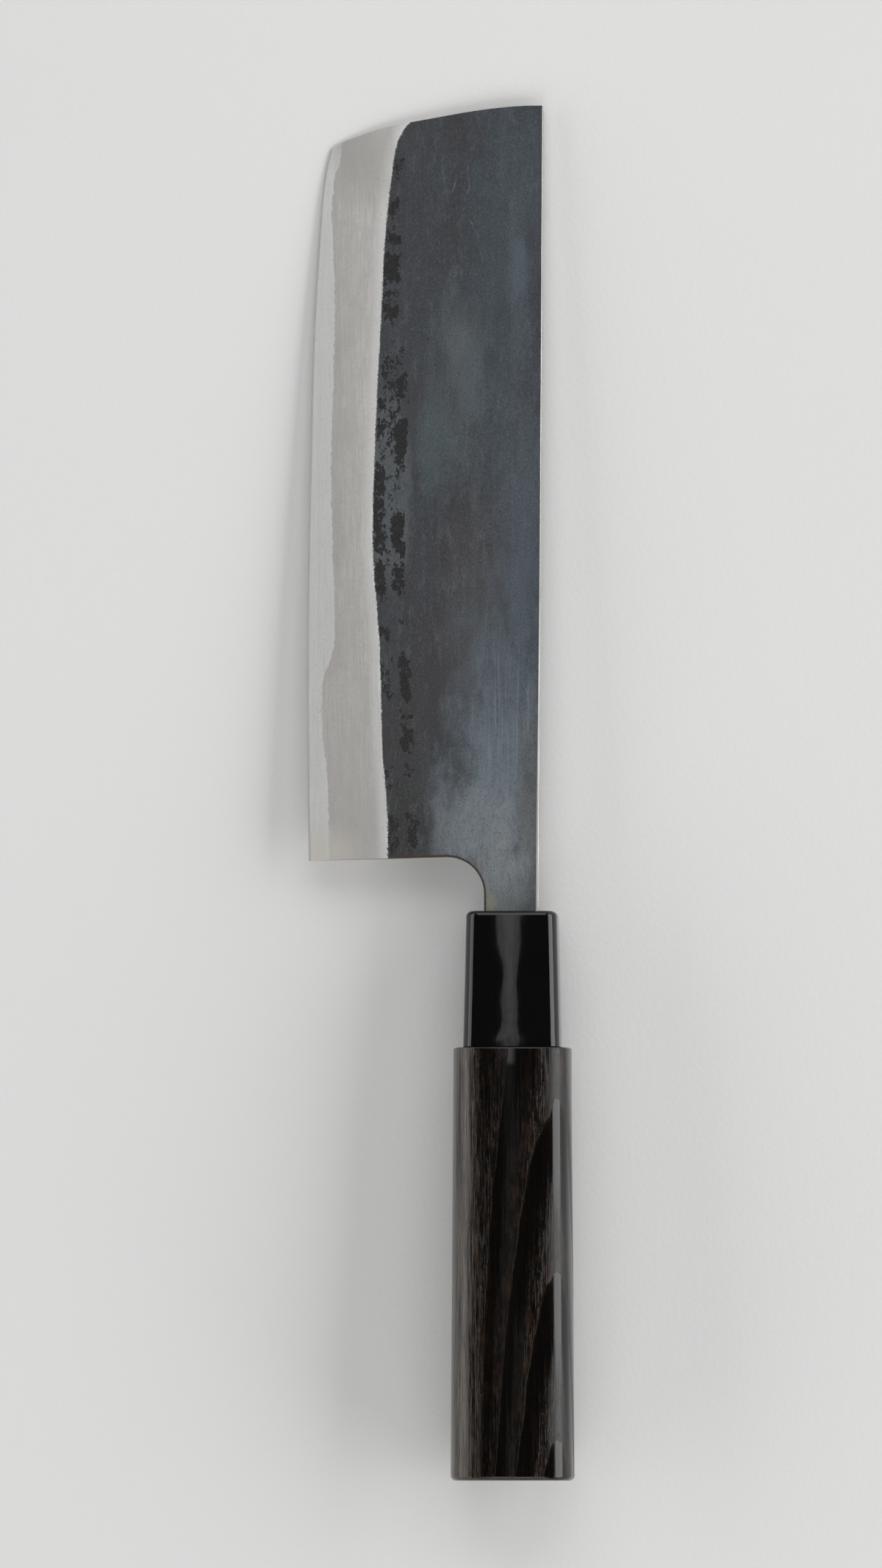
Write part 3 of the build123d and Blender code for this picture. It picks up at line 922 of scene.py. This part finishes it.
# %% Ferrule: black gloss
black = Recipe("ferrule_gloss")
ferrule_wave = black.own_noise((0.12, 0.25, 0.25))
ferrule_haze = black.own_noise((0.3, 2.0, 2.0), detail=4.0, roughness=0.7)
ferrule_scratch = black.own_noise((0.15, 9.0, 9.0), detail=3.0, roughness=0.7)
ferrule_finish = black.finish({
    "Base Color": black.blend(ferrule_haze, (0.0008, 0.0008, 0.0010), (0.0030, 0.0030, 0.0036)),
    "Roughness": black.ramp(ferrule_scratch, 0.35, 0.8, 0.05, 0.13),
    "Normal": black.bump(ferrule_scratch, 0.000002, 0.3, black.bump(ferrule_wave, 0.00008, 0.3)),
})
print("ferrule finish:", ferrule_finish.name)

# %% Ferrule: build it
ferrule_bm = bmesh.new()
lip_size = [side + 2 * SLOT_LIP for side in SLOT]
slot_points = flat_oval(*SLOT, SMALL_CORNERS, SLOT_MIDDLE)
slot_lip = flat_oval(*lip_size, SMALL_CORNERS, SLOT_MIDDLE)
ferrule_stations = [(-SLOT_DEPTH, slot_points), (-SLOT_LIP, slot_points), (0.0, slot_lip)]
for x, inset in rounded_rim(0.0, -1, FERRULE_RIM, FERRULE_RIM_STEPS):
    ferrule_stations.append((x, ferrule_points(x, inset)))
straight = FERRULE_LENGTH - FERRULE_RIM - FERRULE_BACK_CHAMFER
for i in range(1, FERRULE_STEPS + 1):
    x = -FERRULE_RIM - straight * i / FERRULE_STEPS
    ferrule_stations.append((x, ferrule_points(x)))
back_points = ferrule_points(-FERRULE_LENGTH, FERRULE_BACK_CHAMFER)
ferrule_stations.append((-FERRULE_LENGTH, back_points))
ferrule_stations.append((-FERRULE_LENGTH, flat_oval(*SOCKET)))
ferrule_stations.append((-SLOT_DEPTH, flat_oval(*SOCKET)))
ferrule_rings = tube(ferrule_bm, ferrule_stations)
bmesh.ops.bridge_loops(ferrule_bm, edges=ferrule_rings[-1] + ferrule_rings[0])
ferrule = lay_in_room(ferrule_bm, "ferrule_polished", ferrule_finish)
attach(ferrule, "root")
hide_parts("ferrule")

# %% [markdown]
# ## Grip
# The grip is ring-porous wood, burnt almost black and lacquered. Its pores stay open: light
# brown dashes along the grain that also break up the gloss. The grain leans a little, so the
# growth rings come to the surface as long narrow bands. The shape is again one closed skin from
# the mortise for the tang, over the tenon and shoulder, to the softly rounded butt.

# %% Grip: sizes
GRIP_FRONT = (25.7, 22.0)  # width, thickness
GRIP_BACK = (27.0, 22.8)
GRIP_SHAPE = (3.0, 1.7, 6.0)  # crown, bulge, corner radius
GRIP_FRONT_RIM = 0.4
GRIP_BUTT_RIM = 1.1
FRONT_RIM_STEPS = 4
BUTT_RIM_STEPS = 8
GRIP_STEPS = 24
TENON = (15.8, 12.4)
TENON_FRONT = -4.6
MORTISE_FRONT = (10.8, 4.5)
MORTISE_BACK = (5.8, 3.6)
MORTISE_END = -99.0
HANDLE_LENGTH = FERRULE_LENGTH + GRIP_LENGTH


def grip_points(x, inset=0.0):
    width, thickness = tapered(x, -FERRULE_LENGTH, -HANDLE_LENGTH, GRIP_FRONT, GRIP_BACK)
    return crowned_section(width, thickness, *GRIP_SHAPE, inset=inset)


print("grip:", GRIP_LENGTH, "mm long")

# %% [markdown]
# ### Growth rings
# The rings lie about the pith, which is outside the grip, off its spine-side corner. They meet
# that corner at a slant and show as arches there, and as long lines on the broad face. The phase
# counts rings; its fraction says at what time of the year a point of the wood was grown.

# %% Grip: growth rings
wood = Recipe("burnt_wood")
PITH = (-24.7, 30.4)  # middle of the rings, in the section: outside, beyond the spine-side corner
NEAREST = 26.3  # from there to the ring that just reaches the surface
RING_SPACING = 38.2  # mm along the corner from one arch to the next
FIRST_ARCH = -41.9  # x of the first arch's top
RINGS_PER_MM = 0.149  # across the rings, at the first arch
CROWDING = 0.0016  # how much closer they stand for each mm towards the butt
ABOVE_ZERO = 20.0  # whole rings, added so that the count is never negative

own = wood.node("SeparateXYZ", {0: wood.own_place()}).outputs
from_pith = wood.node("CombineXYZ", {
    "X": wood.minus(own["Y"], PITH[0]),
    "Y": wood.minus(own["Z"], PITH[1]),
}).outputs[0]
depth = wood.minus(wood.length(from_pith), NEAREST)
wander = wood.own_noise((0.030, 0.11, 0.11))
ripple = wood.own_noise((0.12, 0.5, 0.5))
# the rings crowd together towards the butt
past_arch = wood.minus(FIRST_ARCH, own["X"])
age = wood.times(depth, wood.math("MULTIPLY_ADD", past_arch, CROWDING, RINGS_PER_MM))
phase = wood.minus(wood.math("DIVIDE", past_arch, RING_SPACING), age)
phase = wood.shaken(wood.shaken(phase, wander, 0.32), ripple, 0.10)
ring_share = wood.math("FRACT", wood.math("ADD", phase, ABOVE_ZERO))
print("wood:", RING_SPACING, "mm from arch to arch")

# %% [markdown]
# ### Open and dense wood
# Spring wood is full of wide vessels. It takes up lacquer, so it lies duller and shows brown;
# the dense wood of the late year stays black and glossy. Noises drawn out along the grip make
# fibres and pores, and a thin broken line marks where each year starts.

# %% Grip: fibres and pores
fibres = wood.own_noise((0.05, 2.2, 2.2), detail=5.0, roughness=0.72)
fine = wood.own_noise((0.12, 6.0, 6.0), detail=3.0, roughness=0.7)
patches = wood.own_noise((0.25, 0.6, 0.6), detail=4.0, roughness=0.7)
pore_noise = wood.own_noise((0.20, 3.2, 3.2), (2.0, 5.0, 0), detail=3.0, roughness=0.65)
open_wood = wood.ramp(wood.shaken(ring_share, fibres, 0.9), 0.35, 0.85)
open_wood = wood.math("MAXIMUM", open_wood, wood.ramp(depth, 7.0, 13.5, 0.0, 0.85))
pores = wood.times(wood.ramp(pore_noise, 0.52, 0.64), wood.weigh(open_wood, 0.10, 1.0))
year_start = wood.ramp(ring_share, 0.0, 0.07, 1.0, 0.0)
ring_line = wood.times(year_start, wood.ramp(fine, 0.36, 0.62))
ring_line = wood.times(ring_line, wood.ramp(patches, 0.36, 0.62, 0.15, 1.0))
print("fibres, pores and ring lines ready")

# %% Grip: colour and gloss of the sides
CHARRED = (0.0002, 0.0001, 0.0001)
CHARRED_PALE = (0.0022, 0.0013, 0.0008)
SPRING_BROWN = (0.019, 0.0096, 0.0050)
wood_colour = wood.blend(wood.ramp(fibres, 0.38, 0.70), CHARRED, CHARRED_PALE)
in_patches = wood.ramp(patches, 0.44, 0.66, 0.03, 0.95)
brown = wood.times(wood.weigh(open_wood, 0.08, 0.9), in_patches)
wood_colour = wood.blend(brown, wood_colour, SPRING_BROWN)
wood_colour = wood.blend(wood.times(ring_line, 0.5), wood_colour, (0.050, 0.036, 0.024))
wood_colour = wood.blend(wood.times(pores, 0.35), wood_colour, (0.036, 0.022, 0.013))
# handling polished the cutting-edge side, and long pale fibres are painted there: partly wear,
# partly painted sheen where that side's highlight falls
wear_and_sheen = wood.times(wood.ramp(own["Y"], 5.5, 10.0), wood.ramp(fibres, 0.43, 0.60))
wear_and_sheen = wood.times(wear_and_sheen, wood.ramp(fine, 0.35, 0.60, 0.45, 1.0))
wood_colour = wood.blend(wood.times(wear_and_sheen, 0.85), wood_colour, (0.115, 0.092, 0.070))
# open wood took up lacquer and lies duller, most of all along the spine-side corner
duller = wood.ramp(own["Y"], -6.5, -9.0, 0.0, 0.15)
dull = wood.math("ADD", wood.ramp(fibres, 0.35, 0.75, 0.17, 0.30), duller)
wood_rough = wood.weigh(open_wood, 0.125, dull)
print("colour of the sides ready")

# %% [markdown]
# ### End grain
# The butt is cut across the fibres. It drank the lacquer, so it is dull and shows the rings as
# arcs. It is told from the sides by the way its surface looks, which is along the grip.

# %% Grip: end grain, and the whole finish
end_grain = wood.ramp(wood.facing(own_x), 0.75, 0.95)
end_dots = wood.own_noise((0.5, 2.8, 2.8), (1.0, 6.0, 2.0), detail=3.0, roughness=0.7)
end_rings = wood.ramp(wood.math("MULTIPLY_ADD", end_dots, 0.7, ring_share), 0.65, 1.20)
end_colour = wood.blend(end_rings, (0.003, 0.002, 0.0015), (0.040, 0.027, 0.018))
end_pores = wood.ramp(end_dots, 0.54, 0.68, 0.0, 0.6)
end_colour = wood.blend(end_pores, end_colour, (0.001, 0.001, 0.001))
wood_colour = wood.blend(end_grain, wood_colour, end_colour)
wood_rough = wood.weigh(end_grain, wood_rough, 0.48)
wood_height = wood.times(wood.math("ADD", fibres, wood.times(fine, 0.5)), open_wood)
wood_height = wood.minus(wood_height, wood.times(pores, 0.8))
wood_finish = wood.finish({
    "Base Color": wood_colour,
    "Roughness": wood_rough,
    "Specular IOR Level": 0.52,
    "Normal": wood.bump(wood_height, 0.00004, 0.5),
})
print("grip finish:", wood_finish.name)

# %% Grip: build it
grip_bm = bmesh.new()
grip_stations = [
    (MORTISE_END, flat_oval(*MORTISE_BACK, SMALL_CORNERS)),
    (TENON_FRONT, flat_oval(*MORTISE_FRONT, SMALL_CORNERS)),
    (TENON_FRONT, flat_oval(*TENON)),
    (-FERRULE_LENGTH, flat_oval(*TENON)),
]
for x, inset in rounded_rim(-FERRULE_LENGTH, -1, GRIP_FRONT_RIM, FRONT_RIM_STEPS):
    grip_stations.append((x, grip_points(x, inset)))
straight = GRIP_LENGTH - GRIP_FRONT_RIM - GRIP_BUTT_RIM
for i in range(1, GRIP_STEPS + 1):
    x = -FERRULE_LENGTH - GRIP_FRONT_RIM - straight * i / GRIP_STEPS
    grip_stations.append((x, grip_points(x)))
for x, inset in reversed(rounded_rim(-HANDLE_LENGTH, 1, GRIP_BUTT_RIM, BUTT_RIM_STEPS)[:-1]):
    grip_stations.append((x, grip_points(x, inset)))
grip_rings = tube(grip_bm, grip_stations)
for open_ring in (grip_rings[0], grip_rings[-1]):
    bmesh.ops.edgeloop_fill(grip_bm, edges=open_ring)
grip = lay_in_room(grip_bm, "grip_wood", wood_finish)
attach(grip, "root")
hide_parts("grip")

# %% [markdown]
# ## Resin
# Where the neck enters the ferrule, dark resin fills the slot. Only this seal can be seen; the
# bedding round the tang and the glue in the socket are hidden, but get the same finish.

# %% Resin
resin = Recipe("dark_resin")
resin_lumps = resin.noise(resin.own_place(), 1.2, detail=3.0)
resin_finish = resin.finish({
    "Base Color": resin.blend(resin_lumps, (0.012, 0.010, 0.008), (0.028, 0.022, 0.018)),
    "Roughness": resin.ramp(resin_lumps, 0.3, 0.7, 0.25, 0.5),
    "Normal": resin.bump(resin_lumps, 0.0001, 0.6),
})
for node_name in ("mouth_seal", "tang_bedding", "ferrule_glue"):
    dress(node_name, resin_finish)
print("resin on the seal, the bedding and the glue")
